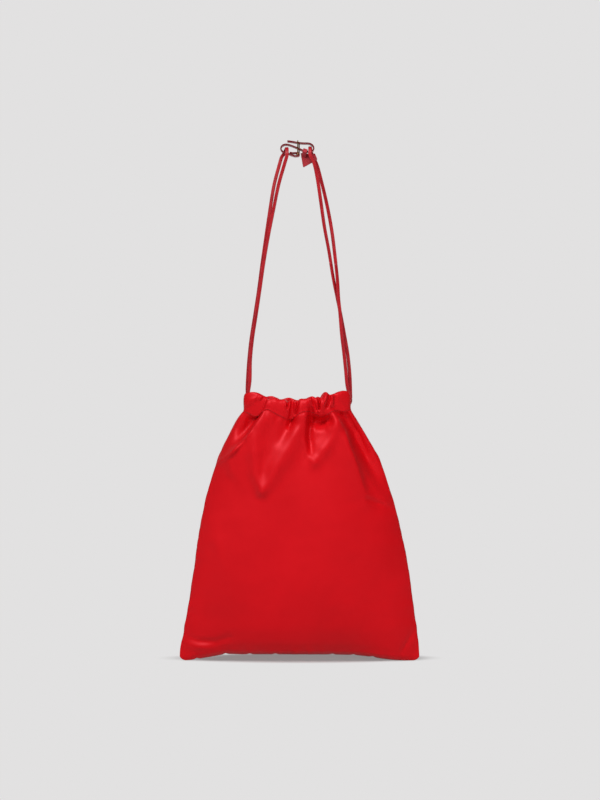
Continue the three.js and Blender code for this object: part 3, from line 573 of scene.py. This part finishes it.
# Folds: path from the top down, heights along it, reach to its left and right as seen from the
# front, and how sharp its crest is (2 is rounded, 1 is a crease). A list is spread evenly along
# the path. A negative height is a hollow.
FRONT_FOLDS = [
    # the long crease that starts at the channel's left and runs out to the left seam, its hollow,
    # and the lip at its lower end
    (px((268.5, 392), (267.5, 401), (265.5, 408), (262.5, 414), (256, 423), (249, 434),
        (242, 442), (234, 450), (226, 457), (218, 462.5)),
     [3, 7, 10, 10, 8, 5], [1.9, 1.9, 2.2, 4, 9, 10], 26, 1.6),
    (px((266.5, 393), (265.3, 402), (262.6, 408.5), (259, 415), (252.8, 423.5), (245.5, 434.5),
        (240, 441)),
     [-3, -7, -10, -11, -11, -9, -4], [3, 8, 12, 12, 10], [1.8, 1.8, 1.8, 3], 2),
    (px((250, 431), (243, 442), (234, 451), (226, 457.5), (218, 462.5)),
     [2, 3.6, 4.6, 4.2, 3], 4, 2.4, 2),
    # the broad tongue left of the middle, between two ridges that meet at its tip, and the hollow
    # between them
    (px((263, 412), (258, 430), (255, 452), (256, 473), (262, 489)),
     [0, 1.2, 4.4, 4.6, 3.4], [9, 9, 7], [14, 12, 8, 6], 2),
    (px((305, 393), (305, 405), (303, 414), (300, 425), (295, 436), (287, 450), (277, 466),
        (268, 483), (263, 491)),
     [3.5, 5.5, 6.5, 6.5, 5.5, 3.4], [11, 12, 11, 7], [14, 14, 12, 8], 2),
    (px((291, 421), (287, 429), (281, 440)), [-5, -3, -1], [9, 8, 5], 6, 2),
    # narrow pleats of the channel
    (px((292.3, 396), (292.3, 410), (292, 419), (289, 426)), [-3, -5, -8, -4], 2.8, 2.8, 2),
    (px((287.7, 398), (287.7, 407.5)), [-6, -6], 1.0, 1.0, 2),
    (px((285.4, 397), (285.8, 406), (287.7, 410), (289.9, 406), (290.1, 397)),
     [2, 2.6, 2], 1.4, 1.4, 2),
    (px((295, 400), (295.7, 408), (296.2, 414)), [1.5, 2, 1], 1.6, 1.6, 2),
    (px((298.4, 397), (297.2, 405), (295.6, 414)), [-5, -6, -6], 1.5, 1.8, 2),
    (px((309.6, 397), (312.1, 405), (314.8, 410), (315, 415)), [2.2, 2.8, 1.5], 1.6, 1.2, 1.6),
    (px((311.9, 398), (314.4, 405.7), (316.3, 410)), [-2, -2.4, -2], 1.1, 1.1, 2),
    (px((318.8, 398), (318.8, 409)), [-7, -7], 1.2, 1.2, 2),
    (px((316.3, 397), (316.9, 406), (318.7, 411.4), (320.9, 406), (321.3, 397)),
     [2, 2.8, 2], 1.4, 1.4, 2),
    (px((328, 389), (325.8, 397.4), (323.3, 403.2), (321.7, 411)),
     [5, 4.5, 3.5, 1.5], 3.4, 1.8, 1.6),
    (px((329.9, 392), (328.7, 399.9), (326.4, 406)), [-4.5, -6, -6], 1.7, 1.9, 2),
    (px((331.4, 391), (332.4, 400), (333.6, 410)), [2.4, 2.8, 1.5], 1.5, 1.5, 1.7),
    (px((335.4, 393), (335.2, 403), (336.4, 410)), [-2.6, -3, -2], 2, 2.4, 2),
    (px((259, 394), (257.4, 399), (254.8, 402)), [-2, -1.6, -0.8], 1.4, 1.4, 2),
    (px((261.8, 393), (260.6, 400), (259, 404)), [1.6, 1.8, 1], 1.4, 1.4, 2),
    (px((246, 404), (252, 399.5), (260, 396.5)), [1.6, 2.2, 1], 2.6, 2.6, 2),
    (px((249, 408), (256, 404.5), (263, 401.5)), [-1.6, -2.8, -2.4], 2.4, 2.4, 2),
    (px((334, 400), (337.5, 406), (341, 412)), [-3, -5, -5], 1.8, 2.4, 2),
    # the pocket under the middle of the channel and the tongue below it
    (px((311.2, 404), (310.6, 412), (309.6, 424), (308.6, 437), (310.6, 452)),
     [-3, -8, -9, -7, -3], 3, 5, 2),
    (px((327, 420), (320, 421.5), (314, 420.5)), [-10, -15, -13], 5, 7.5, 2.2),
    (px((336, 423), (333, 434), (326.5, 446), (320, 455), (315.2, 461.5)),
     [3.5, 5, 5, 3.2], 9, 9, 2),
    (px((305.5, 440), (308, 452), (314.4, 461)), [1, 2, 2], 5, 5, 2),
    (px((315, 430), (314, 442), (314.5, 450)), [-2, -2, -0.8], 5, 7, 2),
    # the long crease on the right, the hollow beside it, and the slack cloth out to the seam
    (px((326.2, 402), (330.4, 409.5), (336, 415.7), (340.5, 422), (345, 431), (349.6, 446),
        (356, 463), (362.8, 486), (367, 497)),
     [4, 8, 9.5, 8.5, 6, 3], 16, [2.6, 4, 4.5, 4], 1.6),
    (px((337, 406), (342, 413), (347.5, 422), (353, 431), (359.5, 444), (366.5, 458), (374, 472),
        (381, 486)),
     [-6, -12, -15, -13, -9, -3], [6, 7.5, 8], [8, 11, 12, 12], 1.9),
    (px((361, 456), (367, 471), (376, 486), (385.5, 500)), [1.5, 3, 3, 1.5], 6, 8, 2),
    (px((368, 498.5), (377, 502), (385, 505.5), (392, 509)), [-2.4, -3, -2], 4, 3, 1.7),
    # creases at the bottom corners and along the left seam
    (px((185, 636), (200, 640.5), (215, 640.5), (229, 636)), [-1.8, -2.8, -1.4], 5, 4, 1.8),
    (px((188, 643.5), (198, 645.5), (210, 645.5)), [1.8, 2.2, 1.2], 5, 5, 2),
    (px((415.5, 628), (409, 638), (402, 650)), [-2, -3, -1.4], 3, 3.4, 1.5),
    (px((189.6, 610.8), (197, 613.5)), [-1.4, -0.5], 2.4, 2.4, 1.6),
    (px((198, 552), (204, 556)), [-1, -0.4], 2.4, 2.4, 1.6),
    (px((207, 520), (216, 540), (222, 560)), [0.8, 1, 0.6], 9, 9, 2),
]
BACK_FOLDS = [
    (mm((45, 336), (46, 318), (49, 305), (62, 286), (76, 268), (96, 250)),
     [4, 6, 7, 5, 3], 3.4, 17, 1.5),
    (mm((40, 318), (43, 300), (55, 280), (70, 262)), [-4, -5, -4, -2], 6, 5, 2),
    (mm((20, 336), (19, 316), (20, 296), (24, 268), (34, 236), (40, 214)),
     [3, 5, 6, 5, 3.5], 9, 12, 1.7),
    (mm((31, 330), (33, 306), (36, 286), (46, 262)), [-3, -5, -5.5, -2], 5, 6, 2),
    (mm((4, 330), (5, 306), (4, 284), (8, 260)), [-3, -5, -5, -2], 4, 7, 2),
    (mm((-13, 336), (-14, 316), (-15, 298), (-13, 270), (-6, 242)), [3, 5, 6, 5, 3], 10, 5, 1.5),
    (mm((-27, 330), (-30, 306), (-36, 284), (-46, 256)), [-3, -5, -6, -2], 6, 6, 2),
    (mm((-42, 336), (-43, 318), (-50, 298), (-62, 274), (-78, 242)), [4, 6, 7, 5, 3], 16, 4, 1.4),
    # narrow pleats of the channel
    (mm((-9, 334), (-9, 312)), [-3.5, -2.5], 1.2, 1.2, 2),
    (mm((-22, 334), (-21, 310)), [2.4, 2], 1.8, 1.8, 2),
    (mm((12, 334), (13, 312)), [-3, -3], 1.3, 1.3, 2),
    (mm((26, 334), (25, 310)), [2.4, 1.8], 1.7, 1.7, 2),
    (mm((37, 334), (38, 314)), [-3, -2.4], 1.4, 1.6, 2),
    (mm((53, 334), (54, 312)), [-2, -2], 2.2, 2.2, 2),
    (mm((-35, 334), (-36, 312)), [-3, -2.4], 1.4, 1.6, 2),
    (mm((-54, 334), (-53, 312)), [2, 1.6], 3, 3, 2),
    # a slack wave across the middle
    (mm((-34, 196), (10, 186), (60, 190)), [0.6, 1, 0.6], 22, 22, 2),
]
FOLD_END_EASE = 10  # from a fold's ends to where its left and right reach differ in full

# The meshes of the panels.
COLUMNS = 230
POUCH_ROWS = 140
SLEEVE_ROWS = 48
COLUMN_CROWDING = 0.12  # how much closer the columns are at the side seams
ROW_CROWDING = 1.08  # above 1, the rows are closer at the bottom

# The pouch's cloth, below the stitch line.
CLOTH = 1.0
HALF_WIDTH = 150
CORNER = 9
SEAM_HALF = 149
SEAM_GAP = 0.15  # half the gap between the panels' outer faces along the seams
POUCH_HEIGHT = 306  # up to the stitch line
NOTCHES = [-128, -92, -62, -30, 41, 67, 91]  # small rises along the bottom seam
NOTCH_RISE, NOTCH_REACH, NOTCH_DECAY = 1.4, 2.6, 0.02
GATHER_FROM = 0.72  # share of the height where the cloth starts to gather
LENS_FLATNESS = 2.4  # of the pouch's section
LENS_POWER, LENS_POWER_DROP = 0.85, 0.35  # a lower power is a fuller section, as at the gathers
PARTED, PARTED_SIDES = 0.86, 0.1  # the share of the rows where the panels part, more at the sides
PARTED_POWER = 6
FOLD_ONSET = 2.2  # how soon the folds reach their full height away from the side seams
BOTTOM_ONSET = 6  # and the slack waves above the bottom seam

# The small unevenness of real cloth: how wide the lumps of a random field are, how high they get
# and how far they reach. A drawn value below 1 stretches them upwards.
SEAM_WOBBLE_SIZE, SEAM_WOBBLE, SEAM_WOBBLE_EASE, SEAM_WOBBLE_TOP = 22, 0.3, 30, 300
RIGHT_WOBBLE = 0.8  # of the left seam's
SLACK_SIZE, SLACK = 90, 0.7
CRUMPLE_SIZE, CRUMPLE, GATHERED_CRUMPLE = 26, 0.1, 0.3
GATHER_SIZE, GATHER_LIFT, GATHER_REACH, GATHER_DRAWN = 7, 0.45, 9, 0.25
PUCKER_SIZE, PUCKER, PUCKER_REACH = 13, 0.7, 1 / 40
RIPPLE_SIZE, RIPPLE, RIPPLE_REACH = 16, 0.5, 1 / 30
SLEEVE_LUMP_SIZE, SLEEVE_LUMP, SLEEVE_LUMP_DRAWN = 9, 0.35, 0.4

# The channel's sleeve, and the stitching that closes it.
SLEEVE_REACH = 5.2  # from the middle of the channel to its outer wall
SLEEVE_SHY = 0.8  # how much closer the inner wall is
SLEEVE_ROUNDNESS, SLEEVE_BULGE = 0.8, 0.55  # powers of its section's height and depth
SLEEVE_CLOSES = 0.32  # the share of its height over which its walls close on the stitch line
INNER_ECHO = 0.45  # how much of a fold shows on the inner wall
CLOTH_BEHIND = 0.9  # the inner wall's place behind the outer one where they are stitched together
LACE_ROOM = 2.7  # that the outer wall always leaves
INNER_LIMIT = 9  # of how far inwards the inner wall goes
FOLD_LANE = 4.6  # from the middle of the channel to where the folds are read
STITCH_INSET = 0.6  # of the seam's two ends from the outer wall
PINCH = 1.5  # how far the stitching draws the outer wall in
PINCH_REACH = 2.4
STITCH_PITCH = 3
STITCH_LENGTH = 2.1
STITCH_WIDTH = 0.55
STITCH_PROUD = 0.12  # of the seam line, to each stitch's middle
STITCH_RINGS = 5
STITCH_SIDES = 8


def spread(values, share):
    """Values spread evenly over shares from 0 to 1. A single value is the same all along."""
    values = np.atleast_1d(values)
    return np.interp(share, np.linspace(0, 1, len(values)), values)


def fold_lift(folds, across, height):
    """How far the folds lift the cloth at each point."""
    across, height = np.broadcast_arrays(across, height)
    lift = np.zeros(across.shape)
    for path, rises, reach_left, reach_right, sharp in folds:
        starts = run_along(path)
        total = starts[-1]
        nearest = np.full(across.shape, np.inf)
        place, side = np.zeros(across.shape), np.ones(across.shape)
        for (ax, az), (bx, bz), start, length in zip(path[:-1], path[1:], starts, np.diff(starts)):
            ux, uz = (bx - ax) / length, (bz - az) / length
            t = np.clip((across - ax) * ux + (height - az) * uz, 0, length)
            dx, dz = across - ax - ux * t, height - az - uz * t
            far = np.hypot(dx, dz)
            closer = far < nearest
            nearest = np.where(closer, far, nearest)
            place = np.where(closer, start + t, place)
            side = np.where(closer, ux * dz - uz * dx, side)
        to_left, to_right = spread(reach_left, place / total), spread(reach_right, place / total)
        # Both sides reach equally far round the ends, so the cloth has no step there.
        even = (to_left + to_right) / 2
        inner = smooth(np.minimum(place, total - place) / min(FOLD_END_EASE, total / 3))
        reach = even + (np.where(side < 0, to_left, to_right) - even) * inner
        lift += spread(rises, place / total) * np.exp(-((nearest / reach) ** sharp))
    return lift


def bottom_edge(across):
    """The bottom seam, with round corners and drawn up between them."""
    corner = np.maximum(0, np.abs(across) - (HALF_WIDTH - CORNER))
    rounded = CORNER - np.sqrt(np.maximum(0, CORNER**2 - corner**2))
    return rounded + BOTTOM_SEAM(across)


def soft_noise(across, height, size, seed):
    """A smooth random field about one unit high, its lumps about size wide."""
    waves = 14
    made = np.random.default_rng(seed)
    field = 0
    for _ in range(waves):
        angle, phase = made.uniform(0, 2 * math.pi, 2)
        pace = 2 * math.pi / (size * made.uniform(0.7, 1.6))
        field = field + np.sin(pace * (across * math.cos(angle) + height * math.sin(angle)) + phase)
    return field / 3.7  # near the root of the number of waves


def channel_middle(share):
    """Depth of the middle of the channel, where the laces run."""
    return SLIT_HALF + CHANNEL_HALF_DEPTH * np.sqrt(np.maximum(0, 1 - share**2))


def stitch_shape():
    """The points and faces of one stitch: a bar with rounded ends, along the first axis."""
    slide = np.linspace(-1, 1, STITCH_RINGS + 2)[1:-1]
    girth = np.sqrt(1 - slide**4) * STITCH_WIDTH / 2
    turn = np.arange(STITCH_SIDES) / STITCH_SIDES * 2 * math.pi
    points = [
        [t * STITCH_LENGTH / 2, r * math.cos(a), r * math.sin(a)]
        for t, r in zip(slide, girth)
        for a in turn
    ]
    points += [[-STITCH_LENGTH / 2, 0, 0], [STITCH_LENGTH / 2, 0, 0]]
    faces = []
    after = [(k + 1) % STITCH_SIDES for k in range(STITCH_SIDES)]
    for r in range(0, (STITCH_RINGS - 1) * STITCH_SIDES, STITCH_SIDES):
        for k, next_k in enumerate(after):
            a, b = r + k, r + next_k
            faces.append((a, b, b + STITCH_SIDES, a + STITCH_SIDES))
    last = (STITCH_RINGS - 1) * STITCH_SIDES
    for k, next_k in enumerate(after):
        faces.append((next_k, k, len(points) - 2))
        faces.append((last + k, last + next_k, len(points) - 1))
    return np.array(points), faces


def stitches(name, line, side):
    """A row of stitches along a seam on the outside of the channel."""
    length = run_along(line)[-1]
    count = int(length / STITCH_PITCH)
    places = (np.arange(count) + 0.5) * length / count
    along = unit(points_at(places + 1, line) - points_at(places - 1, line))
    out = np.cross(along, [0, 0, 1])
    out = unit(out * np.sign(out[:, 1:2]) * side)
    up = np.cross(out, along)
    shape, bar_faces = stitch_shape()
    points = (
        (points_at(places, line) + out * STITCH_PROUD)[:, None]
        + shape[None, :, 0:1] * along[:, None]
        + shape[None, :, 1:2] * out[:, None]
        + shape[None, :, 2:3] * up[:, None]
    )
    faces = [
        tuple(number * len(shape) + corner for corner in face)
        for number in range(count)
        for face in bar_faces
    ]
    piece = make_piece(name, points.reshape(-1, 3), faces, THREAD)
    outward(piece)
    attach(piece, "bag")
    return piece


def pouch_cloth(side, folds, base, share, seed):
    """The cloth of a panel from the bottom seam up to the stitch line."""
    oval = np.sqrt(np.maximum(0, 1 - share**2))
    t = (np.arange(POUCH_ROWS)[None, :] / POUCH_ROWS) ** ROW_CROWDING
    seam = bottom_edge(share * SEAM_HALF)
    notches = sum(NOTCH_RISE * fades(share * SEAM_HALF - at, NOTCH_REACH) for at in NOTCHES)
    height = seam + (base - seam) * t + notches * np.exp(-t / NOTCH_DECAY)
    wobble = SEAM_WOBBLE * soft_noise(0, height, SEAM_WOBBLE_SIZE, seed + 5)
    wobble *= smooth(height / SEAM_WOBBLE_EASE)
    wobble *= smooth((SEAM_WOBBLE_TOP - height) / SEAM_WOBBLE_EASE)
    left, right = LEFT_SEAM(height) + wobble, RIGHT_SEAM(height) - RIGHT_WOBBLE * wobble
    across = (left + right) / 2 + share * (right - left) / 2

    # How full the panel is: a lens between the side seams that turns into the channel's outer wall.
    up = np.clip((height - seam) / (POUCH_HEIGHT - seam), 0, 1)
    gather = smooth((up - GATHER_FROM) / (1 - GATHER_FROM))
    lens = (1 - np.abs(share) ** LENS_FLATNESS) ** (LENS_POWER - LENS_POWER_DROP * gather)
    wall = channel_middle(share) + SLEEVE_REACH * oval
    parted = PARTED + PARTED_SIDES * np.abs(share) ** PARTED_POWER
    to_wall = smooth((t - parted) / (1 - parted))
    deep = (DEPTH(up) * lens) * (1 - to_wall) + wall * to_wall

    # The folds, the slack waves, the gathers under the stitches and the bottom seam's puckers.
    slack = SLACK * soft_noise(across, height, SLACK_SIZE, seed)
    crumple = soft_noise(across, height, CRUMPLE_SIZE, seed + 1)
    slack += (CRUMPLE + GATHERED_CRUMPLE * gather) * crumple
    gathers = GATHER_LIFT * soft_noise(across, height * GATHER_DRAWN, GATHER_SIZE, seed + 7)
    puckers = PUCKER * soft_noise(across, 0, PUCKER_SIZE, seed + 3)
    lift = fold_lift(folds, across, height) + slack * smooth(t * BOTTOM_ONSET)
    lift += gathers * fades(base - height, GATHER_REACH) + puckers * fades(t, PUCKER_REACH)
    lift *= np.clip(lens * FOLD_ONSET, 0, 1)
    side_ripple = RIPPLE * soft_noise(0, height, RIPPLE_SIZE, seed + 2)
    side_ripple *= fades(1 - np.abs(share), RIPPLE_REACH)
    pinch = PINCH * fades(base - height, PINCH_REACH) * oval
    deep = np.maximum(0, deep + lift + side_ripple - pinch)
    return np.stack([across, side * (SEAM_GAP + deep), height], axis=2)


def channel_sleeve(side, folds, base, top, stitch_at, share, seed):
    """The channel: up the outside, over the top edge and down the inside to the stitch line."""
    oval = np.sqrt(np.maximum(0, 1 - share**2))
    round_trip = (np.arange(SLEEVE_ROWS) + 0.5)[None, :] / SLEEVE_ROWS
    angle = -math.pi / 2 + 2 * math.pi * round_trip
    outside = np.cos(angle) >= 0
    rise = 0.5 * (1 + squared_off(np.sin(angle), SLEEVE_ROUNDNESS))
    bulge = np.abs(np.cos(angle)) ** SLEEVE_BULGE
    level = base + (top - base) * rise
    at = MOUTH_SHIFT + share * (CHANNEL_HALF_WIDTH + FOLD_LANE)
    lumps = soft_noise(at, level * SLEEVE_LUMP_DRAWN, SLEEVE_LUMP_SIZE, seed + 8)
    lift = fold_lift(folds, at, level) + SLEEVE_LUMP * lumps

    # Low down, both walls close on the stitch line.
    closing = smooth((SLEEVE_CLOSES - rise) / SLEEVE_CLOSES) * (1 - bulge)
    outer = (SLEEVE_REACH + lift) * (bulge + closing) - PINCH * closing
    inner = SLEEVE_REACH - SLEEVE_SHY - INNER_ECHO * lift
    closed = SLEEVE_REACH + fold_lift(folds, stitch_at, base) - PINCH - CLOTH_BEHIND
    out = np.where(outside, outer, closed * closing - inner * bulge)
    # However deep a fold is, the outer wall leaves the laces room and the inner one stays near.
    out = np.maximum(out, np.where(outside, LACE_ROOM * bulge, -INNER_LIMIT))
    wall_reach = np.where(outside, SLEEVE_REACH, SLEEVE_SHY - SLEEVE_REACH)
    widening = wall_reach * (bulge + closing * np.where(outside, 1, -1))
    deep = channel_middle(share) + out * oval
    across = MOUTH_SHIFT + share * (CHANNEL_HALF_WIDTH + widening)
    return np.stack([across, side * (SEAM_GAP + deep), level], axis=2)


def panel(name, side, folds, stitch, top, replaced, seed):
    """One panel of the pouch: its cloth, its sleeve and the stitches between them."""
    turn = np.linspace(-1, 1, COLUMNS + 1)[:, None]
    share = turn * (1 + COLUMN_CROWDING - COLUMN_CROWDING * turn**2)
    stitch_at = MOUTH_SHIFT + share * (CHANNEL_HALF_WIDTH + SLEEVE_REACH - STITCH_INSET)
    base = stitch(stitch_at)
    grid = np.concatenate(
        [
            pouch_cloth(side, folds, base, share, seed),
            channel_sleeve(side, folds, base, top(stitch_at), stitch_at, share, seed),
        ],
        axis=1,
    )
    n, m = grid.shape[:2]
    index = np.arange(n * m).reshape(n, m)
    a, b, c, d = index[:-1, :-1], index[1:, :-1], index[1:, 1:], index[:-1, 1:]
    quads = np.stack([a, b, c, d] if side < 0 else [a, d, c, b], axis=2).reshape(-1, 4)
    up_the_cloth = run_along(grid[n // 2])
    uvs = np.broadcast_arrays(share * HALF_WIDTH / 1000, up_the_cloth[None, :] / 1000)
    piece = make_piece(name, grid.reshape(-1, 3), quads.tolist(), NYLON,
                       np.stack(uvs, axis=2).reshape(-1, 2))
    thicken(piece, CLOTH)
    seam_line = grid[:, POUCH_ROWS + 1 : POUCH_ROWS + 3].mean(axis=1)
    seam_thread = stitches(name + "_stitches", seam_line, side)
    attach(piece, "bag")
    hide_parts(replaced)


panel("pouch_front", -1, FRONT_FOLDS, FRONT_STITCH, FRONT_TOP, "front_panel", 4)
panel("pouch_back", 1, BACK_FOLDS, BACK_STITCH, BACK_TOP, "back_panel", 11)

# ---------------------------------------------------------------- the frame's own solids

for name, material in (
    ("belt_strap", STRAP),
    ("leather_tag", SHADED_TAG_LEATHER),
    ("buckle_frame", GOLD),
    ("buckle_tongue", GOLD),
):
    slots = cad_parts[name].data.materials
    slots.clear()
    slots.append(material)

# ---------------------------------------------------------------- studio

# In metres, in the frame.
FLOOR_HEIGHT = -HANG_Z / 1000 - 0.0006
FLOOR_HALF = 7
BACKDROP_HEIGHT = 6
SHADOW_MIDDLE = (0.003, 0.028)
SHADOW_RADII = (0.172, 0.052)


def studio_paper():
    """Pale grey paper: the camera sees its even tone, and near the bag's foot a darker grey, a
    painted shadow, with the bag's own shadow falling on it.
    """
    m = new_material("studio_paper")
    rays = add(m, "LightPath")
    place = add(m, "TexCoord").outputs["Object"]
    seen = add(m, "Math",
               links={0: rays.outputs["Is Camera Ray"], 1: rays.outputs["Is Glossy Ray"]},
               operation="MAXIMUM")
    # A grey darker than the even tone: by the bag's foot the paper is a painted shadow as well as
    # holding the cast one.
    paper = add(m, "BsdfDiffuse", {"Color": srgb("#B4B3B3")})
    even = add(m, "Emission", {"Color": srgb(BACKDROP_TONE), "Strength": 1.0})
    # In an ellipse round the bag's foot the darker paper shows, lit and with the bag's shadow on
    # it, softened. It is darker than the even tone even where unshadowed, so it is a painted
    # shadow. The even tone takes over outside it.
    behind = add(m, "VectorMath", {1: (*SHADOW_MIDDLE, 0)}, {0: place}, operation="SUBTRACT")
    far = add(m, "VectorMath", {1: (1 / SHADOW_RADII[0], 1 / SHADOW_RADII[1], 0)},
              {0: behind.outputs["Vector"]}, operation="MULTIPLY")
    reach = add(m, "VectorMath", links={0: far.outputs["Vector"]}, operation="LENGTH")
    away = add(m, "MapRange", {"From Min": 0.72, "From Max": 1.08, "To Min": 0.22},
               {"Value": reach.outputs["Value"]}, interpolation_type="SMOOTHSTEP")
    both = add(m, "Math", links={0: away.outputs["Result"], 1: seen.outputs["Value"]},
               operation="MULTIPLY")
    shader = add(m, "MixShader", links={0: both.outputs["Value"], 1: paper.outputs["BSDF"],
                                        2: even.outputs["Emission"]})
    add(m, "OutputMaterial", links={"Surface": shader.outputs["Shader"]})
    return m


def studio_floor():
    """The paper: a floor under the bag that turns up far behind it."""
    z, h, top = FLOOR_HEIGHT, FLOOR_HALF, FLOOR_HEIGHT + BACKDROP_HEIGHT
    points = [(-h, -h, z), (h, -h, z), (h, h, z), (-h, h, z), (h, h, top), (-h, h, top)]
    mesh = bpy.data.meshes.new("studio_floor")
    mesh.from_pydata(points, [], [(0, 1, 2, 3), (3, 2, 4, 5)])
    mesh.materials.append(studio_paper())
    floor = bpy.data.objects.new("studio_floor", mesh)
    bpy.context.scene.collection.objects.link(floor)


def studio_air():
    """A pale room: faint light from all round, and the backdrop's tone where the camera sees it."""
    world = bpy.data.worlds.new("studio_air")
    world.use_nodes = True
    world.node_tree.nodes.clear()
    rays = add(world, "LightPath")
    air = add(world, "Background", {"Color": srgb("#F4F5F7"), "Strength": 0.13})
    wall = add(world, "Background", {"Color": srgb(BACKDROP_TONE), "Strength": 1.0})
    sky = add(world, "MixShader", links={0: rays.outputs["Is Camera Ray"],
                                         1: air.outputs["Background"],
                                         2: wall.outputs["Background"]})
    add(world, "OutputWorld", links={"Surface": sky.outputs["Shader"]})
    bpy.context.scene.world = world


def softbox(name, place, aim, size, power, mirrored=True):
    """A rectangular light aimed at a point. One that isn't mirrored makes no highlight."""
    lamp = bpy.data.lights.new(name, "AREA")
    lamp.shape = "RECTANGLE"
    lamp.size, lamp.size_y = size
    lamp.energy = power
    holder = bpy.data.objects.new(name, lamp)
    bpy.context.scene.collection.objects.link(holder)
    holder.location = place
    holder.visible_glossy = mirrored
    holder.rotation_euler = (Vector(aim) - Vector(place)).to_track_quat("-Z", "Y").to_euler()


studio_floor()
studio_air()
softbox("key_softbox", (-0.7, -1.35, 1.45), (0, 0, -0.4), (1.2, 1.0), 48)
softbox("front_fill", (1.0, -2.2, -0.22), (0, 0, -0.5), (2.0, 0.7), 26, mirrored=False)
softbox("back_fill", (0.5, 2.0, 0.6), (0, 0, -0.4), (1.2, 1.2), 18, mirrored=False)

# ---------------------------------------------------------------- end

bpy.context.scene.view_settings.view_transform = "Standard"
